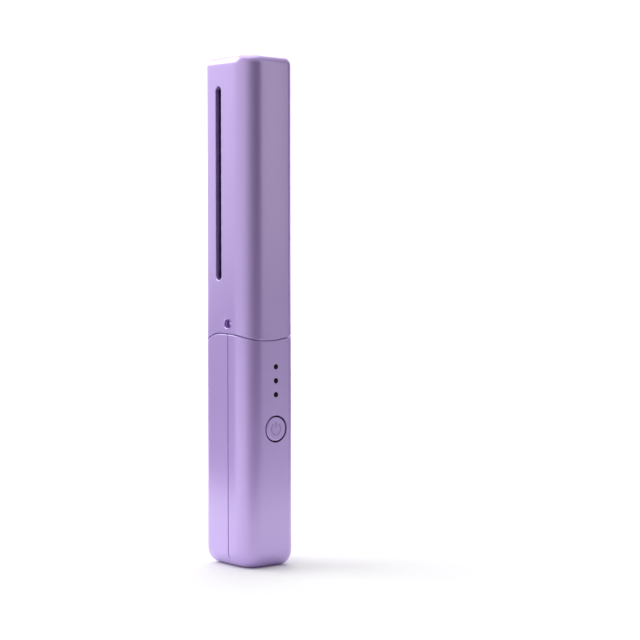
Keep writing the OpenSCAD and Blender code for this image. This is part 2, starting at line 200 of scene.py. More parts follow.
def ramp(value, start, end):
    """Smooth step from 0 where value is start to 1 where it is end: three squares less two cubes."""
    k = np.clip((value - start) / (end - start), 0, 1)
    return k * k * (3 - 2 * k)


def corners(body, inset):
    """Centres and radii of the section's four upright corners, set in by a distance."""
    rows = []
    soft, tight = body.soft_r, body.tight_r
    for sx, sy, r in ((-1, -1, soft), (1, -1, tight), (1, 1, soft), (-1, 1, tight)):
        q = max(r - inset, LEAST_R)
        rows.append((sx * (body.width / 2 - inset - q), sy * (body.depth / 2 - inset - q), q))
    return np.array(rows)


def box_circles(low, high, r):
    """Circles of radius r round the four points of a rectangle, anticlockwise from its low point."""
    (x0, y0), (x1, y1) = low, high
    return [(x0, y0, r), (x1, y0, r), (x1, y1, r), (x0, y1, r)]


def outline(circles, arc, line, crown=0.0):
    """Closed taut outline round a ring of circles, anticlockwise, with the same count of points whatever the
    circles: an arc on each circle, then the tangent line to the next, which bulges outwards by crown in a
    parabola."""
    c = np.asarray(circles, float)
    nxt = np.roll(c, -1, 0)
    d = nxt[:, :2] - c[:, :2]
    apart = np.maximum(np.hypot(*d.T), 1e-6)
    turn = np.arctan2(d[:, 1], d[:, 0]) - np.arccos(np.clip((c[:, 2] - nxt[:, 2]) / apart, -1, 1))
    start = np.roll(turn, 1)
    end = start + (turn - start) % (2 * math.pi)
    a = start[:, None] + (end - start)[:, None] * np.linspace(0, 1, arc)
    arcs = c[:, None, :2] + c[:, None, 2:] * np.stack([np.cos(a), np.sin(a)], 2)
    t = np.linspace(0, 1, line + 2)[1:-1][None, :, None]
    way = np.stack([np.cos(turn), np.sin(turn)], 1)[:, None]
    first, last = arcs[:, -1:], nxt[:, None, :2] + nxt[:, None, 2:] * way
    lines = first + (last - first) * t + way * crown * 4 * t * (1 - t)
    return np.concatenate([arcs, lines], 1).reshape(-1, 2)


def blade_to_row(points, turn):
    """Turns S, T columns, S along the blade towards the tips and T across it, into X, Y by a rotation of a
    quarter turn plus turn."""
    s, t = points.T
    return np.stack([-s * math.sin(turn) - t * math.cos(turn), s * math.cos(turn) - t * math.sin(turn)], 1)


def row_to_blade(points, turn):
    """The same rotation backwards: X, Y columns into S, T."""
    x, y = points.T
    return np.stack([-x * math.sin(turn) + y * math.cos(turn), -x * math.cos(turn) - y * math.sin(turn)], 1)


def arch(body, y, r):
    """Height of the seam's arch of radius r at y."""
    return body.rim_z - body.arch_r + np.sqrt(r * r - (y - body.arch_y) ** 2)


def seam_height(body, points, gap=0.0):
    """Height of the seam under outline points: the arch, which smooth steps lift towards the back of the -X
    side and the front of the +X side."""
    x, y = points.T
    back = ramp(y, body.arch_y, body.arch_y + 13) * ramp(x, 3, -10)
    front = ramp(y, -3, -11) * ramp(x, 1, 11)
    return arch(body, y, body.arch_r + gap) + BACK_LIFT * back + FRONT_LIFT * front


def quarter(r, steps):
    """Offsets round a quarter circle of radius r, from side to end: inwards by 1 - cosine, along by sine."""
    return [(r * (1 - math.cos(a)), r * math.sin(a)) for a in np.linspace(0, math.pi / 2, steps)]


def shares(*runs):
    """Rising shares of a height, out of runs of first, last and count, each run without its first value."""
    return np.concatenate([np.linspace(first, last, count + 1)[1:] for first, last, count in runs])


# Meshes

CUT_SHARP = 14.0   # degrees above which an edge is sharp once holes have been cut
PROUD = 1.0        # how far a cutter stands out of the surface it cuts, and past the wall inside
APART = 0.01       # keeps circles apart that would otherwise lie on each other
HAIR = 0.001       # keeps rings apart that would otherwise lie on each other


def mesh_object(name, verts, faces, smooth=35.0):
    """Object with those vertices in millimetres, shaded smooth up to edges of that many degrees."""
    mesh = bpy.data.meshes.new(name)
    mesh.from_pydata((np.asarray(verts) * MM).tolist(), [], [list(map(int, f)) for f in faces])
    mesh.validate()
    mesh.update()
    mesh.shade_smooth()
    mesh.set_sharp_from_angle(angle=math.radians(smooth))
    obj = bpy.data.objects.new(name, mesh)
    bpy.context.scene.collection.objects.link(obj)
    return obj


def lofted(rings):
    """Vertices and faces of a loft through closed rings with one count of points, closed at both ends."""
    n, m = len(rings[0]), len(rings)
    verts = np.concatenate([np.asarray(r, float) for r in rings])
    k = np.arange(n)
    nxt = (k + 1) % n
    faces = []
    for i in range(m - 1):
        faces.extend(np.stack([i * n + k, i * n + nxt, (i + 1) * n + nxt, (i + 1) * n + k], 1).tolist())
    faces.append(list(range(n - 1, -1, -1)))
    faces.append(list(range((m - 1) * n, m * n)))
    return verts, faces


def merged(*parts):
    """One list of vertices and faces out of several."""
    verts, faces, base = [], [], 0
    for v, f in parts:
        verts.append(np.asarray(v, float))
        faces.extend([[int(i) + base for i in face] for face in f])
        base += len(v)
    return np.concatenate(verts), faces


def ring_at(points, z):
    """Ring of X, Y, Z from X, Y columns and one height, or one for each point."""
    return np.column_stack([points, np.broadcast_to(z, (len(points),))])


def prism(circles, arc, heights):
    """Loft straight up of the taut outline round circles, with rings at those heights."""
    points = outline(circles, arc, 1)
    return lofted([ring_at(points, z) for z in heights])


def revolved(profile, steps):
    """Loft of a profile of (radius, height) turned about +Z."""
    a = np.linspace(0, 2 * math.pi, steps, endpoint=False)
    return lofted([np.column_stack([r * np.cos(a), r * np.sin(a), np.full(steps, h)]) for r, h in profile])


def facing(shape, way, origin):
    """Puts vertices and faces built about +Z so that +Z looks that way and the origin lands at origin."""
    verts, faces = shape
    x, y, z = verts.T
    turned = {"-X": (-z, -x, y), "+X": (z, x, y), "-Y": (x, -z, y), "-Z": (x, -y, -z)}[way]
    return np.stack(turned, 1) + np.asarray(origin, float), faces


def cut(obj, cutters):
    """Subtracts each cutter, given as vertices and faces, from obj, and evens the shading of what is left."""
    tool = mesh_object("cutter", *merged(*cutters))
    mod = obj.modifiers.new("cut", "BOOLEAN")
    mod.operation, mod.solver, mod.object = "DIFFERENCE", "EXACT", tool
    graph = bpy.context.evaluated_depsgraph_get()
    made = bpy.data.meshes.new_from_object(obj.evaluated_get(graph))
    if not made.polygons:
        raise RuntimeError(f"Cutting the holes left nothing of {obj.name}")
    obj.modifiers.remove(mod)
    old, obj.data = obj.data, made
    bpy.data.meshes.remove(old)
    bpy.data.objects.remove(tool)
    obj.data.shade_smooth()
    obj.data.set_sharp_from_angle(angle=math.radians(CUT_SHARP))
    even = obj.modifiers.new("even shading", "WEIGHTED_NORMAL")
    even.mode, even.weight, even.keep_sharp = "FACE_AREA", 50, True


def flared(ring, depth, lip):
    """Cutter that follows ring(offset), an outline grown by an offset, down to depth below the surface, which
    is at height 0, and opens there with a lip rounded by a quarter circle."""
    rings = [ring_at(ring(0.0), -depth)]
    for a in np.linspace(0, math.pi / 2, 8):
        rings.append(ring_at(ring(lip * (1 - math.cos(a))), -lip * (1 - math.sin(a))))
    rings.append(ring_at(ring(lip + HAIR), PROUD))
    return lofted(rings)


def circle_ring(r, steps=48):
    """Function of an offset that gives a circle of radius r plus that offset."""
    a = np.linspace(0, 2 * math.pi, steps, endpoint=False)
    return lambda offset: np.stack([(r + offset) * np.cos(a), (r + offset) * np.sin(a)], 1)


def stadium_ring(half_x, half_y):
    """Function of an offset that gives a rectangle with round ends, grown by that offset."""
    r = min(half_x, half_y) - APART
    x, y = half_x - r, half_y - r
    return lambda offset: outline(box_circles((-x, -y), (x, y), r + offset), 16, 1)


# Finishes

MOTTLE_MM, MOTTLE = 55.0, 0.12   # size of the broad mottle, and how much of it reaches the colour
GRAIN = 0.35                     # how much of the fine grain reaches the colour


def add(tree, kind, place, inputs=None, stops=None, **settings):
    """Adds a node at a place, sets its properties, and gives its inputs by name or number: an output is
    linked, any other value is set. stops are the places and colours of a colour ramp."""
    node = tree.nodes.new(kind)
    node.location = place
    for name, value in settings.items():
        setattr(node, name, value)
    for name, value in (inputs or {}).items():
        if isinstance(value, bpy.types.NodeSocket):
            tree.links.new(value, node.inputs[name])
        else:
            node.inputs[name].default_value = value
    if stops:
        elements = node.color_ramp.elements
        for element, (where, *color) in zip(elements, (stops[0], stops[-1])):
            element.position, element.color = where, (*color, 1)
        for where, *color in stops[1:-1]:
            elements.new(where).color = (*color, 1)
    return node


def new_tree(owner):
    """Empty node tree of a material or world."""
    owner.use_nodes = True
    owner.node_tree.nodes.clear()
    return owner.node_tree


def finish(name, color, shade, grain_mm, rough, bump=0.02, **shader):
    """Material with a fine grain in colour, roughness and relief and a broad faint mottle, all in object
    coordinates. The grain's size is in millimetres, and shader holds the other constants of the Principled
    shader."""
    mat = bpy.data.materials.new(name)
    tree = new_tree(mat)
    coords = add(tree, "ShaderNodeTexCoord", (-900, 0)).outputs["Object"]
    fine = add(tree, "ShaderNodeTexNoise", (-650, -200), {
        "Vector": coords, "Scale": 1 / (grain_mm * MM), "Detail": 3.0, "Roughness": 0.6}).outputs["Fac"]
    broad = add(tree, "ShaderNodeTexNoise", (-650, 200), {
        "Vector": coords, "Scale": 1 / (MOTTLE_MM * MM), "Detail": 2.0}).outputs["Fac"]
    weight = add(tree, "ShaderNodeMath", (-450, 200), {0: broad, 1: MOTTLE}, operation="MULTIPLY")
    blend = add(tree, "ShaderNodeMath", (-250, 100), {0: fine, 1: GRAIN, 2: weight.outputs[0]},
                operation="MULTIPLY_ADD")
    tint = add(tree, "ShaderNodeMixRGB", (-50, 200), {
        "Fac": blend.outputs[0], "Color1": color, "Color2": linear(shade)})
    gloss = add(tree, "ShaderNodeMapRange", (-250, -100), {
        "Value": fine, "From Min": 0.3, "From Max": 0.7, "To Min": rough[0], "To Max": rough[1]})
    relief = add(tree, "ShaderNodeBump", (-50, -300), {
        "Height": fine, "Strength": bump, "Distance": 0.1 * MM})
    skin = add(tree, "ShaderNodeBsdfPrincipled", (300, 0), {
        "Base Color": tint.outputs[0], "Roughness": gloss.outputs[0], "Normal": relief.outputs[0], **shader})
    add(tree, "ShaderNodeOutputMaterial", (650, 0), {"Surface": skin.outputs[0]})
    return mat


# a finish without a color takes it from the setting of the same name
FINISHES = {
    # ABS sprayed with lavender pearl and a clear coat: the flakes give a soft metal sheen under a sharper
    # gloss. Real flakes are about 0.03 mm, drawn ten times coarser so that they show as a faint sparkle.
    "shell": {
        "name": "pearl lavender paint on moulded ABS", "shade": "B79BE0", "grain_mm": 0.3125,
        "rough": (0.34, 0.42), "bump": 0.05, "Metallic": 0.6, "Coat Weight": 1.0, "Coat IOR": 1.9,
        "Coat Roughness": 0.17},
    # Extruded and milled aluminium with a baked black ceramic coat: dark, with a broad dull gleam and a
    # sandy grain.
    "heater_bar": {
        "name": "black coated aluminium", "shade": "1A1A1C", "grain_mm": 0.33, "rough": (0.38, 0.55),
        "bump": 0.15},
    # Alumina pressed and fired: an off-white, dry and faintly gritty plate. The grit is drawn coarser than
    # the real one.
    "ceramic": {
        "name": "fired alumina", "color": "EDE8DC", "shade": "D9D2C2", "grain_mm": 0.67,
        "rough": (0.45, 0.6), "bump": 0.1},
    # Polyimide cast as thin film: clear amber with a wet gloss and slow ripples.
    "film": {
        "name": "polyimide film", "color": "C5842B", "shade": "A5681C", "grain_mm": 2.5,
        "rough": (0.15, 0.3), "bump": 0.03},
    # Steel dipped in tin: bright, with cloudy crystals of about a millimetre.
    "tin": {
        "name": "tinned steel", "color": "C9C9CC", "shade": "A9A9AE", "grain_mm": 1.4,
        "rough": (0.22, 0.42), "bump": 0.05, "Metallic": 1.0},
    # Glass melted round the sensor: a dark red drop with a clear highlight.
    "bead": {
        "name": "glass bead", "color": "5A1010", "shade": "3A0A0A", "grain_mm": 2.0, "rough": (0.08, 0.2)},
    # Silicone extruded over wire: soft, dusty, with no hard highlight.
    "white_wire": {
        "name": "white silicone sleeve", "color": "E6E4DE", "shade": "D2D0C8", "grain_mm": 0.67,
        "rough": (0.5, 0.65), "bump": 0.08, "Sheen Weight": 0.2},
    "red_wire": {
        "name": "red silicone sleeve", "color": "A81818", "shade": "8A1010", "grain_mm": 0.67,
        "rough": (0.45, 0.6), "bump": 0.08, "Sheen Weight": 0.2},
    # Nylon moulded in a sparked tool: black with a fine matt grain of about half a millimetre.
    "dark_plastic": {
        "name": "black moulded nylon", "color": "151517", "shade": "222226", "grain_mm": 0.45,
        "rough": (0.4, 0.55), "bump": 0.12},
    # Smoked acrylic, moulded and unpainted: nearly black, with a soft small highlight.
    "lens": {
        "name": "smoked acrylic", "shade": "150E1E", "grain_mm": 1.7, "rough": (0.28, 0.36), "bump": 0.01,
        "IOR": 1.42, "Specular IOR Level": 0.15},
    # Epoxy cast over a chip: milky clear with a wet highlight.
    "led": {
        "name": "clear epoxy", "color": "EFEFE6", "shade": "D8D8C8", "grain_mm": 1.1, "rough": (0.1, 0.25),
        "IOR": 1.5},
    # Solder mask printed on glass laminate: green with a low gloss and the weave just showing.
    "board": {
        "name": "green solder mask", "color": "0F4A26", "shade": "0B3A1D", "grain_mm": 0.56,
        "rough": (0.25, 0.4), "bump": 0.08},
    # Steel headed, rolled and zinc plated: bright with faint cloudy wear.
    "screw_steel": {
        "name": "zinc plated steel", "color": "B5B5BA", "shade": "8F8F96", "grain_mm": 0.83,
        "rough": (0.2, 0.38), "bump": 0.06, "Metallic": 1.0},
    # Film shrunk over the can: plastic gloss with long soft ripples.
    "cell": {
        "name": "printed shrink film", "color": "1F7F88", "shade": "186A72", "grain_mm": 3.3,
        "rough": (0.22, 0.34), "Coat Weight": 0.2},
    # ABS moulded and left bare: white with a satin grain.
    "white_plastic": {
        "name": "white moulded ABS", "color": "E8E6E0", "shade": "D8D5CC", "grain_mm": 0.45,
        "rough": (0.4, 0.55), "bump": 0.08},
    # Open-celled foam cut from sheet: dry and pitted, with no highlight.
    "foam": {
        "name": "grey foam", "color": "6A6A70", "shade": "515157", "grain_mm": 0.63, "rough": (0.8, 0.95),
        "bump": 0.5, "Sheen Weight": 0.1},
    # Ink printed on the paint: the same sheen in a darker tone.
    "mark": {
        "name": "printed power sign", "shade": "8F7AB0", "grain_mm": 0.33, "rough": (0.35, 0.45),
        "bump": 0.05, "Metallic": 0.3},
}

MADE = {}


def paint(obj, slot):
    """Gives obj the finish of that slot. The sign's ink is no slot of the record."""
    if slot not in MADE:
        looks = FINISHES[slot]
        if "color" in looks:
            color = linear(looks["color"])
        else:
            color = list(getattr(bpy.context.scene.heated_comb_colours, slot))
        MADE[slot] = finish(**{**looks, "color": color})
    obj.data.materials.clear()
    obj.data.materials.append(MADE[slot])


# Handle and cap

INNER_LIP = 0.2                                   # rounding of the rim's and the cap's inner edge
PARTING_Y = (-2.1, -6.9)                          # the parting line on the -X and on the +X side
PARTING_LOW, PARTING_HALF = 2.28, 0.19            # its lower end, and half the width of its groove
PARTING_OUT = 0.5                                 # how far its cutter stands out of the skin
PORT_HALF, PORT_AT = (4.7, 1.85), (0.5, -6.4, 0)  # half the size of the charging port, and its middle
LATCHES = (("-X", -1, -2.1), ("+X", 1, -6.6))     # way, sign and Y of each latch hole and the bump behind it
LATCH_WIDER, LATCH_TALLER = 0.95, 0.15            # clearance of a latch hole along Y and up, on each side
CAP_PAST = 0.6                                    # how far the cap's cutters reach past its wall
LENSES, LENS_GAP = 3, 0.05                        # count of lights, and the gap round each
BUTTON_LIP, LENS_LIP, PORT_LIP, VENT_LIP = 0.15, 0.18, 0.35, 0.4


def section(body, inset):
    """Outline of the handle and cap, set in by a distance, with crowned flat sides."""
    return outline(corners(body, inset + body.crowned), 14, 22, body.crowned)


def handle_mesh(body):
    """Closed shell of the handle, as rings of the taut outline: a quarter ellipse of foot_in by foot_rise at
    the foot, the straight side up to the arched rim, quarter circles over the rim, and the inner side down to
    a floor."""
    rise = body.foot_rise
    rings = []
    for a in np.linspace(0, math.pi / 2, 14):
        drawn = 1 - math.sin(a)
        ring = section(body, body.foot_in * drawn)
        left = np.clip(-ring[:, 0] / (body.width / 2), 0, 1)
        ring[:, 0] += body.foot_left * drawn * left
        rings.append(ring_at(ring, rise * (1 - math.cos(a))))
    base = section(body, 0)
    top = seam_height(body, base)
    # close rings at the button and the lights keep the faces round their holes small
    for k in shares((0, 0.46, 13), (0.46, 0.67, 27), (0.67, 0.9, 27), (0.9, 0.95, 1)):
        rings.append(ring_at(base, rise + (top - body.lip_r - rise) * k))
    for inward, up in quarter(body.lip_r, 9):
        rings.append(ring_at(section(body, inward), top - body.lip_r + up))
    for inward, up in reversed(quarter(INNER_LIP, 4)):
        rings.append(ring_at(section(body, body.wall - inward), top - INNER_LIP + up))
    inner = section(body, body.wall)
    for k in (0.6, 0.3):
        rings.append(ring_at(inner, body.wall + (top - body.wall) * k))
    rings.append(ring_at(inner, body.wall))
    return lofted(rings)


def cap_mesh(body):
    """Closed shell of the cap, as rings of the taut outline: the inner side down to the arched lip, quarter
    circles round the lip, the straight side, and a quarter circle of edge_r into the crown."""
    r, h = body.edge_r, body.height
    base, inner = section(body, 0), section(body, body.cap_wall)
    low = seam_height(body, base, body.seam)
    rings = [ring_at(inner, h - body.crown)]
    for k in (0.7, 0.4, 0.15):
        rings.append(ring_at(inner, low + (h - body.crown - low) * k))
    for inward, up in quarter(INNER_LIP, 4):
        rings.append(ring_at(section(body, body.cap_wall - inward), low + INNER_LIP - up))
    for inward, up in reversed(quarter(body.lip_r, 9)):
        rings.append(ring_at(section(body, inward), low + body.lip_r - up))
    # close rings at the latch holes and at both ends of the slot keep the faces round them small
    for k in shares((0, 0.09, 14), (0.09, 0.16, 4), (0.16, 0.25, 18), (0.25, 0.87, 24), (0.87, 0.96, 18),
                    (0.96, 0.99, 2)):
        rings.append(ring_at(base, low + (h - r - low) * k))
    for a in np.linspace(0, math.pi / 2, 12):
        rings.append(ring_at(section(body, r * (1 - math.cos(a))), h - r + r * math.sin(a)))
    return lofted(rings)


def parting_cutters(body):
    """Thin upright blades that cut the parting line into both narrow sides, slimmer at its bottom."""
    rows = []
    for way, y in zip((-1, 1), PARTING_Y):
        x = way * body.width / 2
        out, deep = x + way * PARTING_OUT, x - way * body.groove
        wide, slim = 1.5 * PARTING_HALF, 0.7 * PARTING_HALF
        ring = np.array([[out, y - wide], [out, y + wide], [deep, y + slim], [deep, y - slim]])[::way]
        rows.append(lofted([ring_at(ring, PARTING_LOW), ring_at(ring, body.rim_z + PROUD)]))
    return rows


def lens_heights(face):
    """Heights of the lights, from the lowest up."""
    return [face.lens_z + i * face.lens_pitch for i in range(LENSES)]


class HEATEDCOMB_OT_handle(bpy.types.Operator):
    """Casing of the handle with its rounded foot, arched rim, parting line and openings"""

    bl_idname = "heated_comb.handle"
    bl_label = "Handle"

    def execute(self, context):
        body, face = settings("body", "face")
        obj = mesh_object("handle_casing", *handle_mesh(body))
        front, deep = -body.depth / 2, body.wall + PROUD
        hole = flared(circle_ring(face.button_d / 2 + face.button_gap), deep, BUTTON_LIP)
        cutters = [facing(hole, "-Y", (face.button_x, front, face.button_z))]
        hole = flared(circle_ring(face.lens_d / 2 + LENS_GAP, 32), deep, LENS_LIP)
        cutters += [facing(hole, "-Y", (face.button_x, front, z)) for z in lens_heights(face)]
        cutters.append(facing(flared(stadium_ring(*PORT_HALF), deep, PORT_LIP), "-Z", PORT_AT))
        cut(obj, cutters + parting_cutters(body))
        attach(obj, "handle")
        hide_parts("handle_front_shell", "handle_back_shell")
        paint(obj, "shell")
        return {"FINISHED"}


class HEATEDCOMB_OT_cap(bpy.types.Operator):
    """Pull-off cap with its vent slot and two latch holes"""

    bl_idname = "heated_comb.cap"
    bl_label = "Cap"

    def execute(self, context):
        body, face = settings("body", "face")
        obj = mesh_object("cap_casing", *cap_mesh(body))
        side, deep = body.width / 2, body.cap_wall + CAP_PAST
        half = (face.slot_high - face.slot_low) / 2
        slot = flared(stadium_ring(face.slot_w / 2, half), deep, VENT_LIP)
        cutters = [facing(slot, "-X", (-side, face.slot_y, face.slot_low + half))]
        oval = stadium_ring(face.latch_d / 2 + LATCH_WIDER, face.latch_d / 2 + LATCH_TALLER)
        hole = flared(oval, deep, VENT_LIP)
        cutters += [facing(hole, way, (sign * side, y, face.latch_z)) for way, sign, y in LATCHES]
        cut(obj, cutters)
        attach(obj, "cap")
        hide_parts("cap_shell")
        paint(obj, "shell")
        return {"FINISHED"}


# Comb

# circles of the blade's section, as S, T and radius: its round spine, the crease on each flank and the nose
# of a tooth
SPINE = (-9.2, 0.0, 4.0)
CREASE = (5.8, 3.9, 1.5)
NOSE = (9.4, 0.0, 1.8)
NECK = (4.6, 3.6, 1.5)              # crease where the bell has become the neck
NECK_NOSE = (4.8, 0.0, 1.5)         # front of the neck there
TIP_S = NOSE[0] + NOSE[2]           # S of the tooth's tip
BEHIND = -40.0                      # S well behind the spine, for a section that isn't cut off at the back
LEAST_REACH, CUT_R = -4.6, 0.5      # the least that a section reaches, and the radius where it is cut off
FLANK = 0.0933                      # rise of T along S on the flank between spine and crease
GAP_END = 13.5                      # S where a gap's straight flanks would be as wide as the gap at the tips
ARC, LINE = 9, 18                   # points on each circle and on each line of a ring

COLLAR_BEVEL = 0.3
BELL_DROP = 0.9                     # how far under the shoulder the bell starts
NECK_STEP = 0.3                     # height from ring to ring in the neck
BLOCK_BELOW, BLOCK_ABOVE = 0.2, 2.4  # how far the foot of the tooth block reaches down and up from block_z
HEAD_START = 0.6                    # where the head's rings start above the last gap
HEAD_END = 0.12                     # angle where they end
NARROWING, SQUEEZE = 1.6, 0.38      # height under the top over which the head gets thinner, and by how much

# thumb scoops: radius, place of the axis in T and Z, where it ends in S, and its lean
SCOOP_R, SCOOP_T, SCOOP_Z, SCOOP_S, SCOOP_LEAN = 5.4, 8.2, 101.7, -1.4, math.tan(math.radians(8))
SCOOP_EDGE = 0.084                  # in square millimetres: a scoop's edge is pushed in by half its root

# web: low and high point in S, T, radius of its corners, and heights of its rings
WEB_LOW, WEB_HIGH, WEB_R = (3.8, -1.1), (4.9, 1.1), 0.2
WEB_HEIGHTS = (109.2, 130, 150, 170, 186)
# guide rib: ends in X, how far its circles are drawn in from the back, their radius, and heights of its rings
RIB_X, RIB_IN, RIB_R = (-3.3, -1.8), (0.5, 0.05), 0.35
RIB_HEIGHTS = (80.0, 84.0, 88.0, 90.5)
BUMP_R, BUMP_H, BUMP_ROOT = 0.95, 0.8, 0.6   # a snap bump's radius, height and depth of root


def blade_circles(reach, low=BEHIND, trim=0.0):
    """Circles of the blade's section when it starts at S = low and reaches only to S = reach: whole past the
    crease, and cut off before it with small circles on the flanks. trim takes that much off the radii at a
    tooth's edges."""
    reach = max(reach, LEAST_REACH)
    if reach >= CREASE[0] + CREASE[2]:
        s, t, r = CREASE[0], CREASE[1], CREASE[2] - trim
        nose = (reach - NOSE[2], 0.0, NOSE[2] - trim)
    else:
        s, r = reach - CUT_R, CUT_R
        t = SPINE[2] + FLANK * (s - SPINE[0]) - r
        nose = (s, 0.0, r)
    return [(s, t, r), (max(SPINE[0], low + SPINE[2]), 0.0, SPINE[2]), (s, -t, r), nose]


def gap_reach(comb, d):
    """How far the blade reaches in S at a height d from the middle of a gap: round at the root, then straight
    flanks that open the gap towards the tips."""
    root, tip = comb.root_gap / 2, comb.tip_gap / 2
    if d <= root:
        return comb.root_s - math.sqrt(root * root - d * d)
    if d < tip:
        return min(comb.root_s + (d - root) / (tip - root) * (GAP_END - comb.root_s), TIP_S)
    return TIP_S


def blade_ring(z, reach, low=BEHIND, trim=0.0, squeeze=1.0):
    """Ring of the blade at height z in S, T, Z: the taut outline round its four circles, cut off at S =
    reach, with its T multiplied by squeeze."""
    points = outline(blade_circles(reach, low, trim), ARC, LINE)
    points[:, 0] = np.minimum(points[:, 0], reach)
    points[:, 1] *= squeeze
    return ring_at(points, z)


def scooped(ring):
    """Presses the two thumb scoops into a ring of S, T, Z: each is a cylinder along S with a round end, whose
    axis leans in, and points inside it move along T onto its wall."""
    out = ring.copy()
    s, t, z = ring.T
    axis_t = SCOOP_T - np.maximum(s - SCOOP_S, 0) * SCOOP_LEAN
    left = SCOOP_R * SCOOP_R - (z - SCOOP_Z) ** 2 - np.minimum(s - SCOOP_S, 0) ** 2
    floor = axis_t - np.sqrt(np.maximum(left, 0))
    depth = np.where(left > 0, np.abs(t) - floor, -1.0)
    push = np.where(depth > 0, (depth + np.sqrt(depth * depth + SCOOP_EDGE)) / 2, 0)
    out[:, 1] = np.sign(t) * (np.abs(t) - np.minimum(push, np.abs(t)))
    return out


def swing(comb, ring):
    """Ring of S, T, Z turned into X, Y, Z."""
    return np.column_stack([blade_to_row(ring[:, :2], comb.turn), ring[:, 2]])


def bezier(t, a, b):
    """Bezier curve of third degree from 0 to 1 with its two handles at a and b."""
    return 3 * (1 - t) ** 2 * t * a + 3 * (1 - t) * t * t * b + t ** 3


def bell_rings(body, comb):
    """Rings of the square collar with its bevelled foot, and of the bell, whose corners run into the neck's
    circles on one Bezier curve while its height rises on another."""
    square = corners(body, comb.collar_in)
    rows = outline(square, ARC, LINE)
    rim = arch(body, rows[:, 1], body.arch_r + comb.shoulder) - BELL_DROP
    rings = [ring_at(outline(corners(body, comb.collar_in + COLLAR_BEVEL), ARC, LINE), comb.collar_z),
             ring_at(rows, comb.collar_z + COLLAR_BEVEL)]
    rings += [ring_at(rows, comb.collar_z + (rim - comb.collar_z) * k) for k in (0.3, 0.55, 0.75, 0.88, 0.95)]
    neck = np.array([NECK, SPINE, (NECK[0], -NECK[1], NECK[2]), NECK_NOSE])
    target = np.column_stack([blade_to_row(neck[:, :2], comb.turn), neck[:, 2]])
    for t in np.linspace(0, 1, 30):
        rise = bezier(t, 0.26, 0.22)
        points = outline(square + (target - square) * bezier(t, 0.0, 1.0), ARC, LINE)
        z = rim * (1 - rise) + comb.neck_z * rise
        if t > 0:
            rings.append(swing(comb, scooped(np.column_stack([row_to_blade(points, comb.turn), z]))))
        else:
            rings.append(ring_at(points, z))
    return rings


def neck_rings(comb):
    """Rings of the scooped neck, and of the foot of the tooth block, which grows forward ever more slowly."""
    start, end = comb.block_z - BLOCK_BELOW, comb.block_z + BLOCK_ABOVE
    rings = [blade_ring(z, comb.neck_s) for z in np.arange(comb.neck_z + NECK_STEP, start, NECK_STEP)]
    for z in np.linspace(start, end, 10):
        left = max(1 - (z - start) / (end - start), 0.0)
        rings.append(blade_ring(z, comb.neck_s + (TIP_S - comb.neck_s) * (1 - left ** 1.6)))
    return [swing(comb, scooped(ring)) for ring in rings]


def head_span(comb, z):
    """Where the blade starts and ends in S at height z: whole below the head, then inside its circle."""
    rise = z - (comb.top - comb.head_r)
    if rise <= 0:
        return BEHIND, TIP_S
    half = math.sqrt(max(comb.head_r ** 2 - rise * rise, 0))
    return comb.head_s - half, min(TIP_S, comb.head_s + half)


def tooth_rings(comb):
    """Rings of the teeth: each gap is a run of heights from its middle, with the trim of a tooth's edges."""
    root, tip = comb.root_gap / 2, comb.tip_gap / 2
    # round the root, along a flank, and over the edge of the tooth
    upward = [(d, 0) for d in (0.0, 0.45, 0.85, 1.12, 1.28, root)]
    upward += [(root + (tip - root) * k, 0) for k in (0.12, 0.3, 0.5, 0.7, 0.84, 0.9)]
    upward += [(tip + 0.01, 0.35), (tip + 0.08, 0.2), (tip + 0.2, 0.08), (tip + 0.4, 0.0)]
    rings = []
    for i in range(comb.teeth + 1):
        middle = comb.tooth_z + (i - 0.5) * comb.pitch
        for d, trim in [(-d, trim) for d, trim in reversed(upward)] + upward[1:]:
            low, limit = head_span(comb, middle + d)
            ring = blade_ring(middle + d, min(gap_reach(comb, abs(d)), limit), low, trim)
            rings.append(swing(comb, ring))
    return rings


def head_rings(comb):
    """Rings of the head above the last gap, round in S, with flanks that come together under the top."""
    middle = comb.top - comb.head_r
    start = comb.tooth_z + (comb.teeth - 0.5) * comb.pitch + comb.tip_gap / 2 + HEAD_START
    rings = []
    for a in np.linspace(math.asin((start - middle) / comb.head_r), math.pi / 2 - HEAD_END, 22):
        z = middle + comb.head_r * math.sin(a)
        low, limit = head_span(comb, z)
        u = max(0.0, (z - (comb.top - NARROWING)) / NARROWING)
        squeeze = 1 - SQUEEZE + SQUEEZE * math.sqrt(max(0.0, 1 - u * u))
        rings.append(swing(comb, blade_ring(z, limit, low, 0.0, squeeze)))
    return rings


def web_mesh(comb):
    """Web that ties the teeth together in front of the finned bar: a rounded rectangle run straight up."""
    points = blade_to_row(outline(box_circles(WEB_LOW, WEB_HIGH, WEB_R), 4, 1), comb.turn)
    return lofted([ring_at(points, z) for z in WEB_HEIGHTS])


def rib_mesh(back):
    """Guide rib on the collar's back, which is at Y = back: a rounded rectangle run straight up, drawn in so
    that it stays clear of the cap."""
    circles = box_circles((RIB_X[0], back - RIB_IN[0]), (RIB_X[1], back - RIB_IN[1]), RIB_R)
    return prism(circles, 5, RIB_HEIGHTS)


def snap_bump(way, origin):
    """Snap bump: half an ellipse turned about its axis, on a short root."""
    profile = [(BUMP_R * math.cos(a), BUMP_H * math.sin(a)) for a in np.linspace(0, 1.45, 9)]
    return facing(revolved([(BUMP_R, -BUMP_ROOT)] + profile, 32), way, origin)


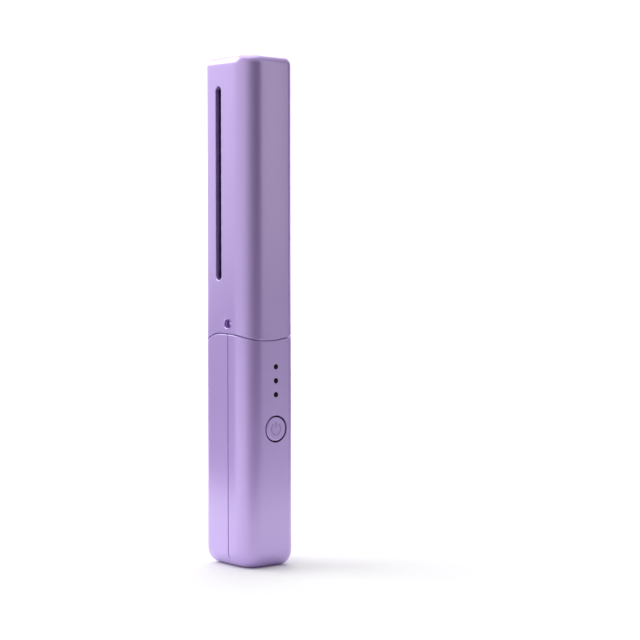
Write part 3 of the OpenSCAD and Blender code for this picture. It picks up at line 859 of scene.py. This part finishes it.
class HEATEDCOMB_OT_comb(bpy.types.Operator):
    """Collar, bell, neck with thumb scoops, toothed blade, web, snap bumps and guide rib"""

    bl_idname = "heated_comb.comb"
    bl_label = "Comb"

    def execute(self, context):
        body, face, comb = settings("body", "face", "comb")
        side = body.width / 2 - comb.collar_in
        blade = lofted(bell_rings(body, comb) + neck_rings(comb) + tooth_rings(comb) + head_rings(comb))
        bumps = [snap_bump(way, (sign * side, y, face.latch_z)) for way, sign, y in LATCHES]
        shape = merged(blade, web_mesh(comb), *bumps, rib_mesh(body.depth / 2 - comb.collar_in))
        obj = mesh_object("comb_casing", *shape, 50)
        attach(obj, "handle")
        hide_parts("comb_front", "comb_back")
        paint(obj, "shell")
        return {"FINISHED"}


# Button and lights

KEY_EDGE, KEY_FOOT = 0.45, 0.9                  # rounding of the key's edge, and its foot
KEY_DROP, KEY_DISH = 0.05, 0.10                 # how deep its face sits, and how much deeper the middle is
SKIRT_OUT, SKIRT_IN = 1.5, 0.04                 # how far the flange stands out of the key, and the skirt in
SKIRT_HEIGHTS = (-2.65, -2.4, -0.5)             # underside and top of the flange, and top of the skirt
SIGN_R, SIGN_HALF, SIGN_OPEN = 2.2, 0.22, 32    # radius, half the stroke, and half the opening in degrees
SIGN_BAR = (0.6, 2.7)                           # lower and upper end of the bar
SIGN_LOW, SIGN_HIGH = -0.25, -0.08              # underside and top of the print
LENS_SET, LENS_DOME = 0.3, 0.22                 # how deep a lens's edge sits, and how far its dome rises
# strip behind the lenses: half its width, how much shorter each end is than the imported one, the radius of its
# corners, its thickness, and how far behind the wall its back lies
STRIP_HALF, STRIP_SHORT, STRIP_R, STRIP_THICK, STRIP_AT = 1.5, 0.2, 0.2, 0.9, 0.95


def key_profile(r):
    """Radius, height up the key's side, round its edge, a quarter ellipse, and over its dished face."""
    profile = [(r, -KEY_FOOT), (r, -KEY_EDGE)]
    profile += [(r - KEY_EDGE * (1 - math.cos(a)), -KEY_EDGE + (KEY_EDGE - KEY_DROP) * math.sin(a))
                for a in np.linspace(0.1, 1.45, 6)]
    return profile + [(r * k, -KEY_DROP - KEY_DISH * (1 - k * k)) for k in (0.8, 0.6, 0.4, 0.2, 0.05)]


def sign_shape():
    """Power sign about +Z: an open ring of square section and a bar in its gap."""
    rings = []
    for a in np.linspace(math.radians(90 + SIGN_OPEN), math.radians(450 - SIGN_OPEN), 40):
        u = np.array([math.cos(a), math.sin(a)])
        inner, outer = u * (SIGN_R - SIGN_HALF), u * (SIGN_R + SIGN_HALF)
        rings.append(np.array([
            [*inner, SIGN_LOW], [*outer, SIGN_LOW], [*outer, SIGN_HIGH], [*inner, SIGN_HIGH]]))
    low, high = SIGN_BAR
    bar = np.array([[-SIGN_HALF, low], [SIGN_HALF, low], [SIGN_HALF, high], [-SIGN_HALF, high]])
    return merged(lofted(rings), lofted([ring_at(bar, SIGN_LOW), ring_at(bar, SIGN_HIGH)]))


class HEATEDCOMB_OT_button(bpy.types.Operator):
    """Round power button with its skirt drawn black as painted shade for the gap round it, and a plain power
    sign
    """

    bl_idname = "heated_comb.button"
    bl_label = "Button"

    def execute(self, context):
        body, face = settings("body", "face")
        r, middle = face.button_d / 2, (face.button_x, -body.depth / 2, face.button_z)
        key = mesh_object("power_key", *facing(revolved(key_profile(r), 72), "-Y", middle), 40)
        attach(key, "button")
        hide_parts("power_button")
        paint(key, "shell")
        # the skirt and its flange are left unpainted and drawn in black nylon, painted shade that makes the gap
        # round the button read dark
        low, high, rim = SKIRT_HEIGHTS
        profile = [(r + SKIRT_OUT, low), (r + SKIRT_OUT, high), (r - SKIRT_IN, high), (r - SKIRT_IN, rim)]
        skirt = mesh_object("key_skirt", *facing(revolved(profile, 72), "-Y", middle), 40)
        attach(skirt, "button")
        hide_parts("power_button")
        paint(skirt, "dark_plastic")
        sign = mesh_object("power_sign", *facing(sign_shape(), "-Y", middle), 30)
        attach(sign, "button")
        paint(sign, "mark")
        return {"FINISHED"}


class HEATEDCOMB_OT_lights(bpy.types.Operator):
    """Three round smoked lenses on their strip"""

    bl_idname = "heated_comb.lights"
    bl_label = "Lights"

    def execute(self, context):
        body, face = settings("body", "face")
        front, r = -body.depth / 2, face.lens_d / 2
        profile = [(r, -body.wall - 0.1), (r, -LENS_SET)]
        profile += [(r * math.cos(a), -LENS_SET + LENS_DOME * math.sin(a)) for a in np.linspace(0.15, 1.5, 7)]
        lenses = [facing(revolved(profile, 36), "-Y", (face.button_x, front, z)) for z in lens_heights(face)]
        low, high = (corner[2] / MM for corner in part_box("light_guides"))
        start = (face.button_x - STRIP_HALF, low + STRIP_SHORT)
        end = (face.button_x + STRIP_HALF, high - STRIP_SHORT)
        strip = prism(box_circles(start, end, STRIP_R), 4, (0.0, STRIP_THICK))
        shape = merged(*lenses, facing(strip, "-Y", (0, front + body.wall + STRIP_AT, 0)))
        obj = mesh_object("smoked_lenses", *shape, 40)
        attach(obj, "handle")
        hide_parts("light_guides")
        paint(obj, "lens")
        return {"FINISHED"}


# Inner parts

SOFTENED = ("heating_plate", "control_board", "board_parts", "battery_cradle", "usb_socket")
SOFT_EDGE = 0.08 * MM


class HEATEDCOMB_OT_inside(bpy.types.Operator):
    """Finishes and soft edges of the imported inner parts"""

    bl_idname = "heated_comb.inside"
    bl_label = "Inner parts"

    def execute(self, context):
        slots = {row["node"]: row["material_slot"] for row in frame["record"]["subparts"]}
        for name, obj in frame["nodes"].items():
            if obj.hide_render:
                continue
            paint(obj, slots[name])
            obj.data.shade_smooth()
            obj.data.set_sharp_from_angle(angle=math.radians(30))
            if name in SOFTENED:
                mod = obj.modifiers.new("soft edges", "BEVEL")
                mod.width, mod.segments, mod.limit_method = SOFT_EDGE, 2, "ANGLE"
        return {"FINISHED"}


# Light

# the room's brightness round the horizon, from -X through -Y, +X and +Y back to -X: place, red, green, blue
WALLS = ((0.00, 0.93, 0.90, 0.88), (0.05, 0.96, 0.92, 0.90), (0.09, 0.80, 0.77, 0.75),
         (0.14, 0.52, 0.49, 0.49), (0.19, 0.17, 0.16, 0.17), (0.24, 0.075, 0.07, 0.075),
         (0.285, 0.08, 0.075, 0.08), (0.322, 0.28, 0.26, 0.27), (0.345, 1.18, 1.12, 1.10),
         (0.365, 1.10, 1.04, 1.03), (0.39, 0.10, 0.10, 0.10), (0.42, 0.03, 0.03, 0.03),
         (0.52, 0.05, 0.05, 0.05), (0.65, 0.50, 0.50, 0.52), (0.75, 0.72, 0.72, 0.74),
         (0.81, 0.95, 0.95, 0.98), (0.865, 0.93, 0.93, 0.96), (0.91, 0.84, 0.82, 0.83),
         (1.00, 0.93, 0.90, 0.88))
ROOF = (0.48, 0.48, 0.49)
ROOF_FROM, ROOF_FULL = 0.25, 0.85   # heights on the unit sphere between which the walls turn into the roof
# name, place, size, power and target of each lamp, in metres and watts
LAMPS = (("key", (-0.60, 0.71, 0.84), (0.85, 0.75), 7.2, (0, 0, 0.1)),
         ("top", (0.0, 0.10, 1.4), (1.2, 1.2), 6.0, (0, 0.1, 0.0)),
         ("wall", (0.9, 1.2, 1.8), (1.6, 0.6), 14.0, (1.4, 1.8, 0.6)))


def studio_world():
    """The room round the object: WALLS by compass angle near the horizon, and ROOF higher up."""
    world = bpy.data.worlds.new("studio")
    tree = new_tree(world)
    coords = add(tree, "ShaderNodeTexCoord", (-1100, 0)).outputs["Generated"]
    split = add(tree, "ShaderNodeSeparateXYZ", (-900, 0), {0: coords})
    turn = add(tree, "ShaderNodeMath", (-700, 0), {0: split.outputs["Y"], 1: split.outputs["X"]},
               operation="ARCTAN2")
    part = add(tree, "ShaderNodeMath", (-500, 0), {0: turn.outputs[0], 1: 1 / (2 * math.pi), 2: 0.5},
               operation="MULTIPLY_ADD")
    walls = add(tree, "ShaderNodeValToRGB", (-300, 0), {"Fac": part.outputs[0]}, WALLS)
    rise = add(tree, "ShaderNodeMapRange", (-300, -300), {
        "Value": split.outputs["Z"], "From Min": ROOF_FROM, "From Max": ROOF_FULL},
               interpolation_type="SMOOTHSTEP")
    roof = add(tree, "ShaderNodeMixRGB", (100, 0), {
        "Fac": rise.outputs[0], "Color1": walls.outputs[0], "Color2": (*ROOF, 1)})
    sky = add(tree, "ShaderNodeBackground", (300, 0), {"Color": roof.outputs[0], "Strength": 1.0})
    add(tree, "ShaderNodeOutputWorld", (500, 0), {"Surface": sky.outputs[0]})
    return world


def aim(name, data, place, way):
    """Object for a lamp or camera at a place, which looks along way with its top up."""
    obj = bpy.data.objects.new(name, data)
    bpy.context.scene.collection.objects.link(obj)
    obj.location = place
    obj.rotation_mode = "QUATERNION"
    obj.rotation_quaternion = Vector(way).to_track_quat("-Z", "Y")
    return obj


def lamp(name, place, size, power, target):
    """Rectangular lamp at a place, turned to a target."""
    data = bpy.data.lights.new(name, "AREA")
    data.shape, data.energy = "RECTANGLE", power
    data.size, data.size_y = size
    aim(name, data, place, np.array(target) - place)


# Stage, in metres

HEADING = np.array([0.609, 0.793])      # X, Y of the way from the camera to the object
WHITE = 0.92                            # the paper's tone where it is seen
WALL_AT, BEND = 1.4, 0.9                # where behind the object the paper starts to bend up, and its radius
PAPER_FRONT, PAPER_HALF = 3.0, 5.0      # how far it reaches in front of the object and to each side
WALL_TOP = 5.0                          # top of the wall
GLOW = 0.75                             # strength of the glow that keeps the far paper white
GLOW_FROM, GLOW_OVER = 0.25, 0.9        # how far out it starts, and over how much it rises to its strength
PAPER_GRAIN_MM = 1.1
# the paper's tone far from the object, by compass angle in degrees: the paint reflects its greys as soft
# dark bands
PAPER = ((0, 0.25), (20, 0.45), (35, 0.92), (75, 0.92), (95, 0.35), (125, 0.10), (140, 0.2), (155, 0.75),
         (205, 0.75), (228, 0.3), (250, 0.10), (290, 0.10), (304, 0.5), (322, 0.5), (335, 0.15), (360, 0.25))
# half the width of the paper that the picture shows beside the object, how much that grows with each metre
# behind it, and how far the picture reaches in front of it
SEEN_HALF, SEEN_GROWTH, SEEN_FRONT = 0.165, 0.26, 0.140
# the camera looks past the object's axis, so that it falls at 248 of 640 across and the horizon lies 175 down
EYE_BACK, EYE_HEIGHT = 0.675, 0.125
LOOK_DOWN, LOOK_TO = math.radians(2.57), math.radians(50.15)
FOCAL, PICTURE = 1743.5, 640.0          # focal length and width of the picture in pixels
SENSOR = 36.0                           # width of the sensor in millimetres


def paper_tone(x, y):
    """Tone of the paper at x, y: white under and behind the object as far as the picture reaches, up to 0.05
    darker within 0.16 m of it as painted shade round the foot, and with a smooth step between 0.05 and 0.22 m
    from it the tone that PAPER gives for the compass angle."""
    far = np.interp(np.degrees(np.arctan2(y, x)) % 360, *np.array(PAPER).T)
    r = np.hypot(x, y)
    behind, aside = x * HEADING[0] + y * HEADING[1], np.abs(x * HEADING[1] - y * HEADING[0])
    beside = np.clip((aside - SEEN_HALF - SEEN_GROWTH * np.maximum(behind, 0)) / 0.08, 0, 1)
    before = np.clip((-behind - SEEN_FRONT) / 0.06, 0, 1)
    # painted shade: the paper is drawn up to 0.05 darker within 0.16 m of the object, round its foot
    near = WHITE - 0.05 * np.clip((0.16 - r) / 0.12, 0, 1)
    return near + (far - near) * ramp(r, 0.05, 0.22) * np.maximum(beside, before)


def paper_sheet():
    """Sheet of paper on a grid that is fine near the object, by a hyperbolic sine: flat to WALL_AT behind the
    object, then bent up round a quarter circle into a wall. Its points carry their tone and glow."""
    spread = np.sinh(4 * np.linspace(-1, 1, 97)) / math.sinh(4)
    flat = PAPER_FRONT * spread
    flat = flat[flat < WALL_AT - 0.05]
    a = np.linspace(0.0, math.pi / 2, 16)
    out = np.concatenate([flat, WALL_AT + BEND * np.sin(a), [WALL_AT + BEND]])
    up = np.concatenate([np.zeros(len(flat)), BEND * (1 - np.cos(a)), [WALL_TOP]])
    o, w = np.meshgrid(out, PAPER_HALF * spread, indexing="ij")
    u = np.broadcast_to(up[:, None], o.shape)
    x, y = HEADING[0] * o + HEADING[1] * w, HEADING[1] * o - HEADING[0] * w
    rows, n = o.shape
    i, j = np.meshgrid(np.arange(rows - 1), np.arange(n - 1), indexing="ij")
    k = (i * n + j).ravel()
    faces = np.stack([k, k + 1, k + n + 1, k + n], 1)[:, ::-1]
    sheet = mesh_object("floor", np.stack([x, y, u], 2).reshape(-1, 3) / MM, faces, 60)
    tone = np.where(u > 0, WHITE, paper_tone(x, y)).ravel()
    glow = (GLOW * np.clip((o - GLOW_FROM) / GLOW_OVER, 0, 1)).ravel() * (tone > 0.8)
    for name, values in (("tone", tone), ("glow", glow)):
        sheet.data.attributes.new(name, "FLOAT", "POINT").data.foreach_set("value", values.astype(np.float32))
    return sheet


def paper_finish():
    """Matt white paper with a fine grain of about a millimetre, in the tone and glow stored on the sheet."""
    mat = bpy.data.materials.new("white paper")
    tree = new_tree(mat)
    coords = add(tree, "ShaderNodeTexCoord", (-900, 0)).outputs["Object"]
    grain = add(tree, "ShaderNodeTexNoise", (-700, -300), {
        "Vector": coords, "Scale": 1 / (PAPER_GRAIN_MM * MM), "Detail": 2.0})
    tint = add(tree, "ShaderNodeValToRGB", (-450, -300), {"Fac": grain.outputs["Fac"]},
               ((0.0, 0.97, 0.97, 0.975), (1.0, 1.0, 1.0, 1.0)))
    tone = add(tree, "ShaderNodeAttribute", (-450, 0), attribute_name="tone")
    glow = add(tree, "ShaderNodeAttribute", (-450, 300), attribute_name="glow")
    mix = add(tree, "ShaderNodeMixRGB", (-100, 0), {
        "Fac": 1.0, "Color1": tint.outputs[0], "Color2": tone.outputs["Color"]}, blend_type="MULTIPLY")
    skin = add(tree, "ShaderNodeBsdfPrincipled", (200, 0), {
        "Base Color": mix.outputs[0], "Roughness": 0.7, "Specular IOR Level": 0.0,
        "Emission Color": (1, 1, 1, 1), "Emission Strength": glow.outputs["Fac"]})
    add(tree, "ShaderNodeOutputMaterial", (550, 0), {"Surface": skin.outputs[0]})
    return mat


class HEATEDCOMB_OT_stage(bpy.types.Operator):
    """Pale floor, plain soft light and the camera"""

    bl_idname = "heated_comb.stage"
    bl_label = "Stage"

    def execute(self, context):
        scene = context.scene
        floor = paper_sheet()
        floor.data.materials.append(paper_finish())

        scene.world = studio_world()
        for row in LAMPS:
            lamp(*row)

        data = bpy.data.cameras.new("camera")
        data.sensor_width, data.lens = SENSOR, FOCAL / PICTURE * SENSOR
        data.clip_start, data.clip_end = 0.01, 20.0
        level = math.cos(LOOK_DOWN)
        way = (math.cos(LOOK_TO) * level, math.sin(LOOK_TO) * level, -math.sin(LOOK_DOWN))
        scene.camera = aim("camera", data, (*(-HEADING * EYE_BACK), EYE_HEIGHT), way)
        scene.view_settings.view_transform = "Standard"
        return {"FINISHED"}


# Panel and steps

class HEATEDCOMB_PT_panel(bpy.types.Panel):
    """Sizes, colours and steps in the 3D view's sidebar."""

    bl_label = "Heated Comb"
    bl_idname = "HEATEDCOMB_PT_panel"
    bl_space_type = "VIEW_3D"
    bl_region_type = "UI"
    bl_category = "Heated Comb"

    def draw(self, context):
        for name, group in SETTINGS.items():
            box = self.layout.box()
            for field in group.__annotations__:
                box.prop(getattr(context.scene, name), field)
        for step in STEPS:
            self.layout.operator(step.bl_idname)


STEPS = (HEATEDCOMB_OT_handle, HEATEDCOMB_OT_cap, HEATEDCOMB_OT_comb, HEATEDCOMB_OT_button,
         HEATEDCOMB_OT_lights, HEATEDCOMB_OT_inside, HEATEDCOMB_OT_stage)
CLASSES = (BodySizes, FaceSizes, CombSizes, Colours, *STEPS, HEATEDCOMB_PT_panel)


def register():
    """Registers the classes and hangs the settings on the scene."""
    for cls in CLASSES:
        bpy.utils.register_class(cls)
    for name, group in SETTINGS.items():
        setattr(bpy.types.Scene, name, bpy.props.PointerProperty(type=group))


def unregister():
    """Takes both away again."""
    for name in SETTINGS:
        delattr(bpy.types.Scene, name)
    for cls in reversed(CLASSES):
        bpy.utils.unregister_class(cls)


def main():
    """Runs every step in order through its operator."""
    register()
    for step in STEPS:
        group, action = step.bl_idname.split(".")
        getattr(getattr(bpy.ops, group), action)()


if __name__ == "__main__":
    main()
